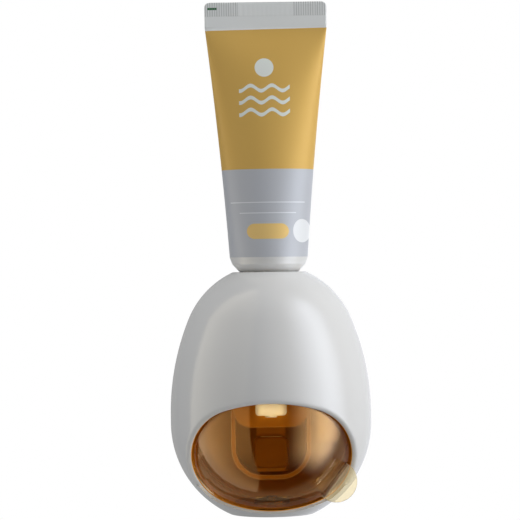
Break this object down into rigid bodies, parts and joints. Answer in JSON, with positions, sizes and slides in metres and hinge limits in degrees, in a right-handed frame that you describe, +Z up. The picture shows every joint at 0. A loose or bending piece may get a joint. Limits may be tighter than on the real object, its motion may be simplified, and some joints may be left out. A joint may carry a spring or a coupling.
{
  "type": "toothpaste dispenser",
  "caption": "Egg-shaped wall-mounted toothpaste squeezer with a turning amber dust cover, push lever pump and an upright laminate tube.",
  "frame": {"origin": "centre of the wall side of the adhesive pad, on the wall's surface", "axes": "+Y into the wall, -Y towards the user, +Z up along the tube, +X to the user's right"},
  "size_m": [0.09, 0.0942, 0.2292],
  "materials": {
    "gloss_white_abs": "polished moulded white ABS",
    "white_abs": "satin moulded white ABS",
    "brown_abs": "satin moulded amber brown ABS",
    "amber_clear": "clear amber tinted polycarbonate, polished",
    "silicone": "soft translucent white silicone",
    "steel": "zinc plated",
    "foam_tape": "grey acrylic foam tape",
    "laminate": "satin metallic printed laminate, gold above silver grey",
    "tube_white": "moulded white polyethylene"
  },
  "bodies": {
    "wall_mount": {"adhesive_pad": "foam_tape", "wall_plate": "white_abs"},
    "dispenser": {"front_shell": "gloss_white_abs", "rear_cover": "gloss_white_abs", "cover_guide": "white_abs", "chassis": "brown_abs", "pump_cover": "brown_abs", "nozzle": "silicone", "outlet_valve": "silicone", "squeeze_bulb": "silicone", "inlet_valve": "silicone", "inlet_sleeve": "silicone", "sleeve_nut": "white_abs", "lever_pin": "steel", "pin_clips": "steel", "return_spring": "steel", "cover_washer": "steel", "cover_screw": "steel", "chassis_screws": "steel", "rear_screws": "steel"},
    "dust_cover": {"dust_cover": "amber_clear"},
    "push_lever": {"push_lever": "brown_abs", "push_pad": "brown_abs"},
    "tube": {"tube_body": "laminate", "tube_head": "tube_white"}
  },
  "joints": [
    {"name": "lift_off", "type": "slide", "parent": "wall_mount", "child": "dispenser", "axis": [0, 0, 1], "range_m": [0, 0.045]},
    {"name": "cover_turn", "type": "hinge", "parent": "dispenser", "child": "dust_cover", "pos_m": [0, -0.0494, -0.0469], "axis": [0, 0, -1], "range_deg": [0, 93]},
    {"name": "lever_press", "type": "hinge", "parent": "dispenser", "child": "push_lever", "pos_m": [0, -0.0374, 0.004], "axis": [1, 0, 0], "range_deg": [0, 14], "stiffness_Nm_per_rad": 0.35, "springref_deg": -14.32, "deforming": ["return_spring", "squeeze_bulb"]},
    {"name": "tube_lift", "type": "slide", "parent": "dispenser", "child": "tube", "axis": [0, 0, 1], "range_m": [0, 0.04]}
  ]
}
